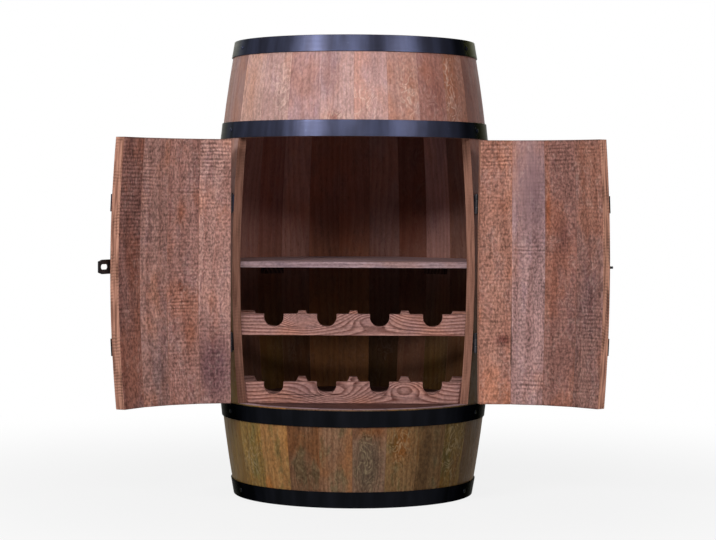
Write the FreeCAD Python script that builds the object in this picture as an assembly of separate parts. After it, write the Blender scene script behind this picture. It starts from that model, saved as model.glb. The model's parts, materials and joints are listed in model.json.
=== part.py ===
import FreeCAD, Part
import math
import os

os.makedirs("parts", exist_ok=True)

# Barrel bar cabinet. Millimetres, +Z up, origin on the floor at the barrel's axis, front towards -Y.
# Azimuth is measured in degrees from the front, positive towards +X.

# Barrel
barrel_height = 802.0
bilge_radius = 248.0       # outside of the staves at half height
end_radius = 211.2         # outside of the staves at either end
stave_thickness = 18.0
stave_count = 25           # an odd count: a joint at the front centre, a whole stave at the back
chime_bevel = 5.0          # bevel inside each end of the staves

# Heads: boards whose bevelled rim sits in a groove cut round inside the staves
head_recess = 15.0         # from the stave ends to the head's outer face
head_thickness = 18.0
head_board_count = 5
groove_width = 10.0
groove_depth = 7.0
groove_clearance = 0.3     # between a head's rim and its groove

# Doorway and doors
doorway_bottom = 170.0
doorway_top = 630.0
door_stave_count = 4       # staves in each door, counted from the front centre
door_end_gap = 4.0         # above and below a door
meeting_gap = 3.0          # between the doors
hinge_gap = 2.0            # between a door and the barrel
left_opening = 115.0       # degrees from closed, as the doors stand
right_opening = 129.0

# Hoops
end_hoop_width = 28.0
end_hoop_setback = 0.3             # of an end hoop's edge from the stave ends
hoop_thickness = 2.0
hoop_clearance = 0.3
quarter_hoop_width = 28.0
sill_setback = 2.0                 # of the lower quarter hoop's edge below the doorway's sill
bilge_hoop_width = 29.0
upper_bilge_hoop_height = 517.0   # middle of the hoop above the floor
lower_bilge_hoop_height = 277.0

# Hinges
leaf_height = 34.0
leaf_width = 27.0
leaf_thickness = 1.8
knuckle_radius = 4.0
knuckle_gap = 0.3
hinge_pin_radius = 2.0
running_clearance = 0.05
leaf_tangent_distance = 15.0      # from the pin to the line where a leaf touches its band
leaf_seat_clearance = 0.1

# Hasp: base leaf and strap on the left door, staple on the right door
hasp_height = 411.0               # middle of the strap above the floor
strap_width = 24.0
strap_end_width = 18.5
strap_end_taper = 11.0
strap_reach = 32.0                # past the left door's free edge
strap_thickness = 1.8
strap_clearance = 0.5             # between the staple's plate and the strap
slot_length = 21.0
slot_width = 8.6
slot_reach = 14.0                 # middle of the slot past the free edge
hasp_pivot_distance = 30.0        # from the free edge back to the pivot
hasp_knuckle_radius = 3.2
hasp_pin_radius = 1.6
hasp_base_width = 30.0
hasp_base_height = 26.0
staple_plate_width = 18.0
staple_plate_height = 44.0
staple_plate_thickness = 1.4
staple_bar = 4.0                  # thickness of the bent bar, both ways
staple_outer_width = 15.6
staple_reach = 14.0               # past the plate

# Inside: shelf, floor and bottle rails, all with their front edges on one line
board_clearance = 0.3
front_setback = 1.2               # of the front edges behind the doorway's inner corners
shelf_top = 416.0
shelf_thickness = 10.5
floor_top = 170.0
floor_thickness = 18.0
rail_height = 37.0
rail_thickness = 18.0
upper_rail_bottom = 288.0
rail_spacing = 112.0              # from the front rails' front face to the rear rails' front face
bottle_count = 4
bottle_pitch = 92.0
neck_notch_radius = 17.0
neck_notch_depth = 22.0
body_scallop_radius = 42.0
body_scallop_depth = 28.0
cleat_length = 44.0
cleat_height = 20.0
cleat_depth = 15.0
cleat_clearance = 0.1

# Worked out from the above
half_height = barrel_height / 2
sagitta = bilge_radius - end_radius
arch_radius = (half_height ** 2 + sagitta ** 2) / (2 * sagitta)
stave_angle = 360.0 / stave_count
doorway_azimuth = door_stave_count * stave_angle
whole_stave_count = stave_count - 2 * door_stave_count
inside_front = (bilge_radius - stave_thickness) * math.cos(math.radians(doorway_azimuth)) - front_setback
door_bottom = doorway_bottom + door_end_gap
door_top = doorway_top - door_end_gap
margin = 60.0                     # how far cutting blocks reach past what they cut
up = FreeCAD.Vector(0, 0, 1)
centre = FreeCAD.Vector(0, 0, 0)


def arch(inset, z):
    """Radius at height z of the face that lies this far inside the staves' outer face."""
    radius = arch_radius - inset
    return bilge_radius - arch_radius + math.sqrt(radius ** 2 - (z - half_height) ** 2)


def outer_radius(z):
    return arch(0, z)


def inner_radius(z):
    return arch(stave_thickness, z)


def widest_radius(middle, height):
    """Largest outside radius of the staves behind a flat plate of this height."""
    low = middle - height / 2
    high = middle + height / 2
    return outer_radius(min(max(half_height, low), high))


def front_point(radius, z, x=0.0):
    return FreeCAD.Vector(x, -radius, z)


def turned(shape, azimuth, about=centre):
    copy = shape.copy()
    copy.rotate(about, up, azimuth)
    return copy


def mirrored(shape):
    return shape.mirror(centre, FreeCAD.Vector(1, 0, 0))


def block(x0, x1, y0, y1, z0, z1):
    return Part.makeBox(x1 - x0, y1 - y0, z1 - z0, FreeCAD.Vector(x0, y0, z0))


def upright_cylinder(radius, z0, z1, x=0.0, y=0.0):
    return Part.makeCylinder(radius, z1 - z0, FreeCAD.Vector(x, y, z0))


def ring_sector(points, azimuth, angle):
    """Turn a closed outline of (radius, height) points about the barrel's axis."""
    corners = [front_point(radius, z) for radius, z in points]
    outline = Part.makePolygon(corners + corners[:1])
    face = turned(Part.Face(outline), azimuth)
    return face.revolve(centre, up, angle)


def export(shape, node):
    shape.exportStep("parts/" + node + ".step")


# Staves: round outside, flat across inside, and bent to the same arc along their length

def arched_face(inset, inside, z0, z1, x=0.0):
    """Upright face between an arched edge and a straight line nearer the axis."""
    bottom, middle, top = [front_point(arch(inset, z), z, x) for z in (z0, (z0 + z1) / 2, z1)]
    arched = Part.Arc(bottom, middle, top).toShape()
    straight = Part.makePolygon([top, front_point(inside, z1, x), front_point(inside, z0, x), bottom])
    return Part.Face(Part.Wire([arched] + straight.Edges))


def inside_of_stave(inset, half_width):
    """Solid that fills the barrel up to one stave's inner face, for cutting."""
    core = end_radius / 2
    face = arched_face(inset, core, 0, barrel_height, -half_width)
    return face.extrude(FreeCAD.Vector(2 * half_width, 0, 0))


def head_groove(z_outer, direction):
    z_inner = z_outer - direction * groove_width
    low, high = sorted((z_outer, z_inner))
    return upright_cylinder(groove_radius(), low, high)


def groove_radius():
    return inner_radius(head_recess + groove_width / 2) + groove_depth


def chime_cone():
    wide = inner_radius(0) + chime_bevel
    return Part.makeCone(wide, wide - chime_bevel, chime_bevel)


def front_stave(z0=0.0, z1=barrel_height, start_gap=0.0, end_gap=0.0):
    """Stave at the front centre between two heights; the gaps are angles taken off its sides."""
    face = arched_face(0, inner_radius(0) - stave_thickness, z0, z1)
    face = turned(face, start_gap - stave_angle / 2)
    stave = face.revolve(centre, up, stave_angle - start_gap - end_gap)
    stave = stave.cut(inside_of_stave(stave_thickness, margin))
    bevel = chime_cone()
    if z0 == 0:
        stave = stave.cut(head_groove(head_recess, -1)).cut(bevel)
    if z1 == barrel_height:
        top_bevel = bevel.mirror(FreeCAD.Vector(0, 0, half_height), up)
        stave = stave.cut(head_groove(barrel_height - head_recess, 1)).cut(top_bevel)
    return stave


def gap_angle(gap, radius=bilge_radius):
    return math.degrees(gap / radius)


def door_stave(number):
    """A closed left door's stave, counted from its free edge."""
    start_gap = gap_angle(hinge_gap) if number == door_stave_count else 0
    end_gap = gap_angle(meeting_gap / 2) if number == 1 else 0
    stave = front_stave(door_bottom, door_top, start_gap, end_gap)
    return turned(stave, (0.5 - number) * stave_angle)


# Hoops

def band_outline(z0, z1):
    """Cross-section of a flat strip laid on the staves."""
    seat0 = outer_radius(z0) + hoop_clearance
    seat1 = outer_radius(z1) + hoop_clearance
    return [(seat0, z0), (seat0 + hoop_thickness, z0), (seat1 + hoop_thickness, z1), (seat1, z1)]


def whole_hoop(z0, z1):
    return ring_sector(band_outline(z0, z1), 0, 360)


def bilge_strip(middle, azimuth, sweep):
    z0 = middle - bilge_hoop_width / 2
    return ring_sector(band_outline(z0, z0 + bilge_hoop_width), azimuth, sweep)


def bilge_hoop(middle):
    """Strip round the sides and back, from one side of the doorway to the other."""
    return bilge_strip(middle, doorway_azimuth, 360 - 2 * doorway_azimuth)


def door_band(middle):
    """Strip across the closed left door."""
    start = gap_angle(hinge_gap) - doorway_azimuth
    end = -gap_angle(meeting_gap / 2)
    return bilge_strip(middle, start, end - start)


# Hinges, made in place on the left side of the closed cabinet and mirrored to the right

def band_face_radius():
    """Outer face of the bilge strips at the hinges, where they are widest."""
    widest = max(widest_radius(middle, bilge_hoop_width) for middle in hinge_heights)
    return widest + hoop_clearance + hoop_thickness


def hinge_pin_place():
    radius = band_face_radius() + leaf_seat_clearance + knuckle_radius
    place = front_point(radius, 0, hinge_gap / 2)
    turn = FreeCAD.Rotation(up, -doorway_azimuth)
    return turn.multVec(place)


def leaf_plate(middle, direction):
    """Flat leaf from the pin, touching its strip; direction is +1 towards the door, -1 away from it."""
    radius = band_face_radius() + leaf_seat_clearance
    tilt = gap_angle(leaf_tangent_distance, radius)
    near = -leaf_tangent_distance
    far = leaf_width - leaf_tangent_distance
    z0 = middle - leaf_height / 2
    plate = block(near, far, -radius - leaf_thickness, -radius, z0, z0 + leaf_height)
    plate = turned(plate, tilt)
    if direction < 0:
        plate = mirrored(plate)
    return turned(plate, -doorway_azimuth)


def knuckle_spans(middle):
    third = leaf_height / 3
    bottom = middle - leaf_height / 2
    return [(bottom + i * third, bottom + (i + 1) * third) for i in range(3)]


def knuckles(spans, pin, radius, bore):
    """Tubes round a pin."""
    tubes = []
    for z0, z1 in spans:
        tube = upright_cylinder(radius, z0, z1, pin.x, pin.y)
        tubes.append(tube.cut(upright_cylinder(bore, z0, z1, pin.x, pin.y)))
    return tubes


def hinge_leaf(middle, direction):
    """The barrel's leaf holds the outer knuckles and the door's leaf the middle one."""
    pin = hinge_pin_place()
    lower, inner, upper = knuckle_spans(middle)
    bore = hinge_pin_radius + running_clearance
    own = [lower, upper] if direction < 0 else [inner]
    others = [inner] if direction < 0 else [lower, upper]
    leaf = leaf_plate(middle, direction)
    for z0, z1 in others:
        room = knuckle_radius + knuckle_gap
        leaf = leaf.cut(upright_cylinder(room, z0 - knuckle_gap, z1 + knuckle_gap, pin.x, pin.y))
    leaf = leaf.cut(upright_cylinder(bore, lower[0], upper[1], pin.x, pin.y))
    for tube in knuckles(trimmed_spans(own, others), pin, knuckle_radius, bore):
        leaf = leaf.fuse(tube)
    return leaf.removeSplitter()


def trimmed_spans(own, others):
    """Shorten knuckles where they meet another leaf's, so that the leaves turn freely."""
    ends = [z for span in others for z in span]
    trimmed = []
    for z0, z1 in own:
        low = z0 + knuckle_gap if any(abs(z0 - end) < knuckle_gap for end in ends) else z0
        high = z1 - knuckle_gap if any(abs(z1 - end) < knuckle_gap for end in ends) else z1
        trimmed.append((low, high))
    return trimmed


def hinge_pin(middle):
    pin = hinge_pin_place()
    half = leaf_height / 2
    return upright_cylinder(hinge_pin_radius, middle - half, middle + half, pin.x, pin.y)


# Hasp, made in place on the closed doors

def free_edge_x():
    return -meeting_gap / 2


def hasp_seat_radius():
    """Back of the base leaf and of the staple's plate."""
    return widest_radius(hasp_height, staple_plate_height) + leaf_seat_clearance


def strap_back():
    """Distance from the barrel's axis to the back of the closed strap."""
    return hasp_seat_radius() + staple_plate_thickness + strap_clearance


def hasp_pin_place():
    return FreeCAD.Vector(free_edge_x() - hasp_pivot_distance, -strap_back() - strap_thickness / 2, 0)


def hasp_spans():
    return [(hasp_height - hasp_base_height / 2 + i * hasp_base_height / 3,
             hasp_height - hasp_base_height / 2 + (i + 1) * hasp_base_height / 3) for i in range(3)]


def hasp_base_azimuth():
    """Middle of the base leaf."""
    place = hasp_pin_place()
    return -math.degrees(math.asin((hasp_base_width / 2 - place.x) / bilge_radius))


def hasp_base():
    pin = hasp_pin_place()
    lower, inner, upper = hasp_spans()
    z0 = hasp_height - hasp_base_height / 2
    radius = hasp_seat_radius()
    half = hasp_base_width / 2
    plate = block(-half, half, -radius - leaf_thickness, -radius, z0, z0 + hasp_base_height)
    plate = turned(plate, hasp_base_azimuth())
    bore = hasp_pin_radius + running_clearance
    room = hasp_knuckle_radius + knuckle_gap
    plate = plate.cut(upright_cylinder(room, inner[0] - knuckle_gap, inner[1] + knuckle_gap, pin.x, pin.y))
    plate = plate.cut(upright_cylinder(bore, lower[0], upper[1], pin.x, pin.y))
    for tube in knuckles([lower, upper], pin, hasp_knuckle_radius, bore):
        plate = plate.fuse(tube)
    return plate.removeSplitter()


def hasp_strap():
    """Flat strap with a bevelled end and a long slot; its knuckle is the middle one."""
    pin = hasp_pin_place()
    lower, inner, upper = hasp_spans()
    tip = free_edge_x() + strap_reach
    shoulder = tip - strap_end_taper
    half = strap_width / 2
    end_half = strap_end_width / 2
    outline = [(pin.x, -half), (shoulder, -half), (tip, -end_half),
               (tip, end_half), (shoulder, half), (pin.x, half)]
    corners = [front_point(strap_back(), hasp_height + z, x) for x, z in outline]
    plate = Part.Face(Part.makePolygon(corners + corners[:1]))
    strap = plate.extrude(FreeCAD.Vector(0, -strap_thickness, 0))
    strap = strap.cut(strap_slot())
    room = hasp_knuckle_radius + knuckle_gap
    for z0, z1 in (lower, upper):
        strap = strap.cut(upright_cylinder(room, z0 - knuckle_gap, z1 + knuckle_gap, pin.x, pin.y))
    bore = hasp_pin_radius + running_clearance
    strap = strap.cut(upright_cylinder(bore, lower[0], upper[1], pin.x, pin.y))
    span = [(inner[0] + knuckle_gap, inner[1] - knuckle_gap)]
    for tube in knuckles(span, pin, hasp_knuckle_radius, bore):
        strap = strap.fuse(tube)
    return strap.removeSplitter()


def slot_middle_x():
    return free_edge_x() + slot_reach


def strap_slot():
    """Round-ended slot, cut right through."""
    radius = slot_width / 2
    half = slot_length / 2 - radius
    start = -bilge_radius - margin
    low = hasp_height - radius
    slot = block(slot_middle_x() - half, slot_middle_x() + half, start, 0, low, low + slot_width)
    inward = FreeCAD.Vector(0, 1, 0)
    for x in (slot_middle_x() - half, slot_middle_x() + half):
        end = Part.makeCylinder(radius, -start, FreeCAD.Vector(x, start, hasp_height), inward)
        slot = slot.fuse(end)
    return slot


def hasp_pin():
    pin = hasp_pin_place()
    lower, inner, upper = hasp_spans()
    return upright_cylinder(hasp_pin_radius, lower[0], upper[1], pin.x, pin.y)


def staple_plate_azimuth():
    return math.degrees(math.asin(slot_middle_x() / bilge_radius))


def hasp_staple():
    """Plate on the right door with a bent bar that the strap's slot passes over."""
    seat = hasp_seat_radius()
    face = seat + staple_plate_thickness
    half = staple_plate_width / 2
    z0 = hasp_height - staple_plate_height / 2
    plate = block(-half, half, -face, -seat, z0, z0 + staple_plate_height)
    outer = bent_bar(staple_outer_width / 2, seat, face + staple_reach)
    inner = bent_bar(staple_outer_width / 2 - staple_bar, seat - margin, face + staple_reach - staple_bar)
    staple = plate.fuse(outer.cut(inner.cut(plate))).removeSplitter()
    return turned(staple, staple_plate_azimuth())


def bent_bar(half_width, start, tip):
    """Straight sides and a round end, as deep as the staple's bar."""
    bend = tip - half_width
    low = hasp_height - staple_bar / 2
    sides = block(-half_width, half_width, -bend, -start, low, low + staple_bar)
    end = upright_cylinder(half_width, low, low + staple_bar, 0, -bend)
    return sides.fuse(end).removeSplitter()


# Boards inside the barrel

def cavity(z0, z1, clearance):
    """Many-sided solid that fills the inside of the staves between two heights."""
    half_angle = math.radians(stave_angle / 2)
    outlines = []
    for z in (z0, z1):
        corner = (inner_radius(z) - clearance) / math.cos(half_angle)
        points = [turned_point(corner, k * stave_angle, z) for k in range(stave_count)]
        outlines.append(Part.makePolygon(points + points[:1]))
    return Part.makeLoft(outlines, True, True)


def turned_point(radius, azimuth, z):
    angle = math.radians(azimuth)
    return FreeCAD.Vector(radius * math.sin(angle), -radius * math.cos(angle), z)


def shelf():
    z0 = shelf_top - shelf_thickness
    reach = bilge_radius + margin
    board = cavity(z0, shelf_top, board_clearance)
    return board.common(block(-reach, reach, -inside_front, reach, z0, shelf_top))


def bottle_places():
    first = -(bottle_count - 1) / 2 * bottle_pitch
    return [first + i * bottle_pitch for i in range(bottle_count)]


def rail(z0, front, hollow_radius, hollow_depth):
    """Board on edge with a round hollow in its top for each bottle."""
    reach = bilge_radius + margin
    z1 = z0 + rail_height
    board = cavity(z0, z1, board_clearance)
    board = board.common(block(-reach, reach, -front, -front + rail_thickness, z0, z1))
    bottom = z1 - hollow_depth
    along = FreeCAD.Vector(0, 1, 0)
    for x in bottle_places():
        axis_z = bottom + hollow_radius
        start = FreeCAD.Vector(x, -front - margin, axis_z)
        board = board.cut(Part.makeCylinder(hollow_radius, rail_thickness + 2 * margin, start, along))
        if axis_z < z1:
            neck = block(x - hollow_radius, x + hollow_radius,
                         -front - margin, -front + rail_thickness + margin, axis_z, z1 + margin)
            board = board.cut(neck)
    return board


def cleats(z1, azimuths):
    """Blocks on the staves' inner faces under a board."""
    seat = inside_of_stave(stave_thickness + cleat_clearance, margin)
    wall = inner_radius(z1 - cleat_height / 2)
    half = cleat_length / 2
    piece = block(-half, half, -wall - margin, -wall + cleat_depth, z1 - cleat_height, z1)
    piece = piece.common(seat)
    return [turned(piece, azimuth) for azimuth in azimuths]


def head(z_outer, direction):
    """Round head cut across into boards; the rim is bevelled on the inside to enter the groove."""
    radius = groove_radius() - groove_clearance
    rim = groove_width - groove_depth - 2 * groove_clearance
    bevel = head_thickness - rim
    z_face = z_outer - direction * groove_clearance
    z_rim = z_face - direction * rim
    z_back = z_face - direction * head_thickness
    outline = [(0, z_face), (radius, z_face), (radius, z_rim), (radius - bevel, z_back), (0, z_back)]
    disc = ring_sector(outline, 0, 360)
    width = 2 * radius / head_board_count
    low, high = sorted((z_face, z_back))
    boards = []
    for i in range(head_board_count):
        x0 = -radius + i * width
        strip = block(x0, x0 + width, -radius, radius, low, high)
        boards.append(disc.common(strip))
    return boards


# Build and write

def group(shapes):
    return Part.makeCompound([solid for shape in shapes for solid in shape.Solids])


hinge_heights = (upper_bilge_hoop_height, lower_bilge_hoop_height)
left_pin = hinge_pin_place()
right_pin = FreeCAD.Vector(-left_pin.x, left_pin.y, 0)


def opened_left(shape):
    return turned(shape, -left_opening, left_pin)


def opened_right(shape):
    return turned(shape, right_opening, right_pin)


def write_barrel():
    stave = front_stave()
    for i in range(whole_stave_count):
        azimuth = doorway_azimuth + (i + 0.5) * stave_angle
        export(turned(stave, azimuth), "stave_%02d" % (i + 1))
    azimuths = [(i + 0.5) * stave_angle - doorway_azimuth for i in range(2 * door_stave_count)]
    upper = front_stave(z0=doorway_top)
    lower = front_stave(z1=doorway_bottom)
    export(group([turned(upper, azimuth) for azimuth in azimuths]), "upper_front_staves")
    export(group([turned(lower, azimuth) for azimuth in azimuths]), "lower_front_staves")
    export(group(head(barrel_height - head_recess, 1)), "top_head")
    export(group(head(head_recess, -1)), "bottom_head")


def write_hoops():
    top_edge = barrel_height - end_hoop_setback
    sill_edge = doorway_bottom - sill_setback
    spans = {
        "top_end_hoop": (top_edge - end_hoop_width, top_edge),
        "upper_quarter_hoop": (doorway_top, doorway_top + quarter_hoop_width),
        "lower_quarter_hoop": (sill_edge - quarter_hoop_width, sill_edge),
        "bottom_end_hoop": (end_hoop_setback, end_hoop_setback + end_hoop_width),
    }
    for node, (z0, z1) in spans.items():
        export(whole_hoop(z0, z1), node)
    for node, middle in zip(("upper_bilge_hoop", "lower_bilge_hoop"), hinge_heights):
        export(bilge_hoop(middle), node)


def write_hinges():
    body_leaves = [hinge_leaf(z, -1) for z in hinge_heights]
    pins = [hinge_pin(z) for z in hinge_heights]
    export(group(body_leaves + [mirrored(leaf) for leaf in body_leaves]), "barrel_hinge_leaves")
    export(group(pins + [mirrored(pin) for pin in pins]), "hinge_pins")
    door_leaves = [hinge_leaf(z, 1) for z in hinge_heights]
    export(opened_left(group(door_leaves)), "left_door_hinge_leaves")
    export(opened_right(group([mirrored(leaf) for leaf in door_leaves])), "right_door_hinge_leaves")


def write_doors():
    for i in range(1, door_stave_count + 1):
        stave = door_stave(i)
        export(opened_left(stave), "left_door_stave_%d" % i)
        export(opened_right(mirrored(stave)), "right_door_stave_%d" % i)
    bands = [door_band(middle) for middle in hinge_heights]
    export(opened_left(group(bands)), "left_door_bands")
    export(opened_right(group([mirrored(band) for band in bands])), "right_door_bands")


def write_hasp():
    export(opened_left(hasp_base()), "hasp_base")
    export(opened_left(hasp_pin()), "hasp_pin")
    export(opened_left(hasp_strap()), "hasp_strap")
    export(opened_right(hasp_staple()), "hasp_staple")


def write_inside():
    export(shelf(), "shelf")
    export(cavity(floor_top - floor_thickness, floor_top, board_clearance), "floor_board")
    for name, z0 in (("upper", upper_rail_bottom), ("lower", floor_top)):
        front = rail(z0, inside_front, neck_notch_radius, neck_notch_depth)
        rear = rail(z0, inside_front - rail_spacing, body_scallop_radius, body_scallop_depth)
        export(front, name + "_front_rail")
        export(rear, name + "_rear_rail")
    side_staves = [(door_stave_count + 1.5) * stave_angle, (door_stave_count + 5.5) * stave_angle]
    azimuths = [side * azimuth for azimuth in side_staves for side in (-1, 1)]
    export(group(cleats(shelf_top - shelf_thickness, azimuths)), "shelf_cleats")
    export(group(cleats(floor_top - floor_thickness, azimuths)), "floor_cleats")


write_barrel()
write_hoops()
write_hinges()
write_doors()
write_hasp()
write_inside()
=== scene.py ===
import json
import math

import bmesh
import bpy
from mathutils import Matrix, Vector


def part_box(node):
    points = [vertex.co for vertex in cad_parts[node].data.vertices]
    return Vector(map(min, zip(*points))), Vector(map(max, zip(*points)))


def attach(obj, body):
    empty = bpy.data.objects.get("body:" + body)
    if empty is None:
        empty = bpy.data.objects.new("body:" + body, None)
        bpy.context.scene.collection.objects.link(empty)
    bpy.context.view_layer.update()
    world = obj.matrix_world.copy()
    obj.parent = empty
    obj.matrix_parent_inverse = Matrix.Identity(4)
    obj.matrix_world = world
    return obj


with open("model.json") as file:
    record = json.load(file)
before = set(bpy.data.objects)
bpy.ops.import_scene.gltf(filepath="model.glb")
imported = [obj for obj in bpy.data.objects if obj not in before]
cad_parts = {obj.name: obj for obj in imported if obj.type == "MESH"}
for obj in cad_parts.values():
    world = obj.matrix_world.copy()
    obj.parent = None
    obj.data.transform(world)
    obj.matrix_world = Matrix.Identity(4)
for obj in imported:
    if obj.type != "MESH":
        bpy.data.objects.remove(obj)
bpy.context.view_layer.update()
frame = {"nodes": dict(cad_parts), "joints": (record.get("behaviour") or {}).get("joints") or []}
nodes = frame["nodes"]
joints = {joint["name"]: joint for joint in frame["joints"]}
print("barrel bar cabinet:", len(nodes), "pieces loaded")

# the barrel, metres and degrees
barrel = {
    "middle": 0.401,  # height of the bilge
    "bilgeRadius": 0.248,
    "archRadius": 2.2032,  # of the staves' long curve
    "staveAngle": 14.4,
    "staveCount": 25,
    "headBoard": 0.081292,  # width of a board in the heads
    "leftOpening": 115.0,  # how far each door stands open
    "rightOpening": 129.0,
}
turnedAside = (0.62, 0.8)  # of a facing, from which a face counts as a board's side
turnedAlong = (0.75, 0.9)  # the same for its end
doors = {
    "left_door": (Vector(joints["left_door_hinge"]["pos_m"]), -barrel["leftOpening"]),
    "right_door": (Vector(joints["right_door_hinge"]["pos_m"]), barrel["rightOpening"]),
}


def shade(red, green, blue):
    # a colour as a paint card gives it, 0 to 255, for a shader socket
    card = [value / 255 for value in (red, green, blue)]
    line = [value / 12.92 if value <= 0.04045 else ((value + 0.055) / 1.055) ** 2.4 for value in card]
    return (*line, 1.0)


def reckoning(operation):
    # what an operator does to a wire and what follows it
    return lambda wire, other: wire.reckon(operation, other)


class Wire:
    # one output of a node; sums on it add Math nodes
    def __init__(self, plan, socket):
        self.plan = plan
        self.socket = socket

    def reckon(self, operation, *others):
        return self.plan.add("ShaderNodeMath", [self, *others], operation=operation)

    def wave(self):
        # a sine that swings between 0 and 1
        return self.reckon("SINE") * 0.5 + 0.5

    def __neg__(self):
        return self.reckon("MULTIPLY", -1.0)

    def __rsub__(self, other):
        return self.plan.add("ShaderNodeMath", [other, self], operation="SUBTRACT")

    __add__ = __radd__ = reckoning("ADD")
    __sub__ = reckoning("SUBTRACT")
    __mul__ = __rmul__ = reckoning("MULTIPLY")
    __truediv__ = reckoning("DIVIDE")
    __pow__ = reckoning("POWER")


class Plan:
    # a node tree and the one way in which nodes come into it; a short kind is one of its own family
    family = "ShaderNode"

    def __init__(self, tree):
        self.tree = tree
        tree.nodes.clear()

    def add(self, kind, sockets=(), out=0, **settings):
        node = self.tree.nodes.new(kind if "Node" in kind else self.family + kind)
        for name, value in settings.items():
            if name == "stops":
                self.setStops(node.color_ramp, value)
            else:
                setattr(node, name, value)
        pairs = sockets.items() if isinstance(sockets, dict) else enumerate(sockets)
        for name, value in pairs:
            if isinstance(value, Wire):
                self.tree.links.new(value.socket, node.inputs[name])
            else:
                node.inputs[name].default_value = value
        return Wire(self, node.outputs[out]) if len(node.outputs) else node

    def setStops(self, ramp, stops):
        ramp.interpolation = "CONSTANT"
        while len(ramp.elements) < len(stops):
            ramp.elements.new(0.5)
        for element, (place, colour) in zip(ramp.elements, stops):
            element.position = place
            element.color = colour

    def vector(self, x, y, z):
        return self.add("ShaderNodeCombineXYZ", [x, y, z])

    def parts(self, vector):
        first = self.add("ShaderNodeSeparateXYZ", [vector])
        return [Wire(self, socket) for socket in first.socket.node.outputs]

    def step(self, value, low, high, start=0.0, end=1.0):
        # runs smoothly from start to end while the value goes from low to high
        ends = {"From Min": low, "From Max": high, "To Min": start, "To Max": end}
        return self.add("ShaderNodeMapRange", {"Value": value, **ends}, interpolation_type="SMOOTHSTEP")


class Finish(Plan):
    # a material with its Principled shader and the few helpers that every finish uses
    def __init__(self, name, **constants):
        self.material = bpy.data.materials.new(name)
        self.material.use_nodes = True
        super().__init__(self.material.node_tree)
        skin = self.add("BsdfPrincipled", constants)
        self.shader = skin.socket.node
        self.add("OutputMaterial", {"Surface": skin})

    def give(self, socket, wire):
        self.tree.links.new(wire.socket, self.shader.inputs[socket])

    def noise(self, place, detail=2.0, roughness=0.5, distortion=0.0, scale=1.0):
        return self.add("TexNoise", {"Vector": place, "Scale": scale, "Detail": detail,
                                     "Roughness": roughness, "Distortion": distortion})

    def chance(self, seed):
        # a fixed random number from 0 to 1
        return self.add("TexWhiteNoise", {"W": seed}, noise_dimensions="1D")

    def blend(self, first, second, share, how="MIX"):
        return self.add("Mix", {0: share, 6: first, 7: second}, out=2, data_type="RGBA", blend_type=how)

    def stain(self, colour, tint, share):
        # the colour darkened through a transparent tint
        return self.blend(colour, tint, share, "MULTIPLY")

    def dim(self, colour, amount):
        # the colour times a number
        first = colour if isinstance(colour, Wire) else colour[:3]
        return self.add("VectorMath", {0: first, "Scale": amount}, operation="SCALE")

    def bump(self, height, distance, strength):
        relief = {"Height": height, "Distance": distance, "Strength": strength}
        self.give("Normal", self.add("Bump", relief))


class Group(Plan):
    # a Geometry Nodes group; its keys are what a modifier calls the labelled inputs
    family = "GeometryNode"

    def __init__(self, name, inputs):
        super().__init__(bpy.data.node_groups.new(name, "GeometryNodeTree"))
        self.keys = {}
        for label, kind in inputs.items():
            socket = self.tree.interface.new_socket(label, in_out="INPUT", socket_type="NodeSocket" + kind)
            self.keys[label] = socket.identifier

    def asked(self, label):
        return self.add("NodeGroupInput", out=label)

    def yields(self, label, wire):
        self.tree.interface.new_socket(label, in_out="OUTPUT", socket_type="NodeSocketGeometry")
        self.add("NodeGroupOutput", {label: wire})


def objectPlace(finish, door=None):
    # place and facing in the closed barrel: a door's stance is turned back out
    place = finish.add("TexCoord", out="Object")
    facing = finish.add("TexCoord", out="Normal")
    if door is None:
        return place, facing
    pin, turn = doors[door]
    angle = -math.radians(turn)
    return [finish.add("VectorRotate", {"Vector": vector, "Center": centre, "Angle": angle},
                       rotation_type="Z_AXIS") for vector, centre in ((place, pin), (facing, Vector()))]


def staveFrame(finish, door=None):
    # where a point lies in its own stave: across it, into it, along it, and the stave's number
    place, facing = objectPlace(finish, door)
    x, y, z = finish.parts(place)
    nx, ny, nz = finish.parts(facing)
    stave = math.radians(barrel["staveAngle"])
    half = stave / 2
    # the angle is counted from a seam beside the back stave, so that no stave holds its jump
    side = x * math.cos(half) + y * math.sin(half)
    front = x * math.sin(half) - y * math.cos(half)
    azimuth = side.reckon("ARCTAN2", front) + half
    depth = (x * x + y * y) ** 0.5
    turns = azimuth / stave
    number = turns.reckon("FLOOR")
    width = stave * barrel["bilgeRadius"]
    rise = z - barrel["middle"]
    skin = barrel["bilgeRadius"] - rise * rise * (0.5 / barrel["archRadius"])
    sideways = (nx * azimuth.reckon("COSINE") + ny * azimuth.reckon("SINE")).reckon("ABSOLUTE")
    return {"across": (turns - number - 0.5) * width, "into": skin - depth, "along": z,
            "number": number, "width": width, "azimuth": azimuth,
            "sideFace": finish.step(sideways, *turnedAside),
            "endFace": finish.step(nz.reckon("ABSOLUTE"), *turnedAlong)}


def boardFrame(finish, axes, spacing, shift=0.0):
    # the same for flat boards: axes name the grain, the width and the thickness
    place, facing = objectPlace(finish)
    long, wide, thick = (dict(zip("xyz", finish.parts(place)))[axis] for axis in axes)
    lay = wide / spacing + shift
    number = lay.reckon("FLOOR")
    turned = dict(zip("xyz", finish.parts(facing)))[axes[0]]
    return {"across": (lay - number - 0.5) * spacing, "into": thick, "along": long,
            "number": number, "width": spacing, "high": wide, "sideFace": None,
            "endFace": finish.step(turned.reckon("ABSOLUTE"), *turnedAlong)}


inner = (0.0105, 0.0125)  # depth in a stave at which its inner face takes over
sawn = (0.011, 0.0135)  # the same for the saw lines

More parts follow.
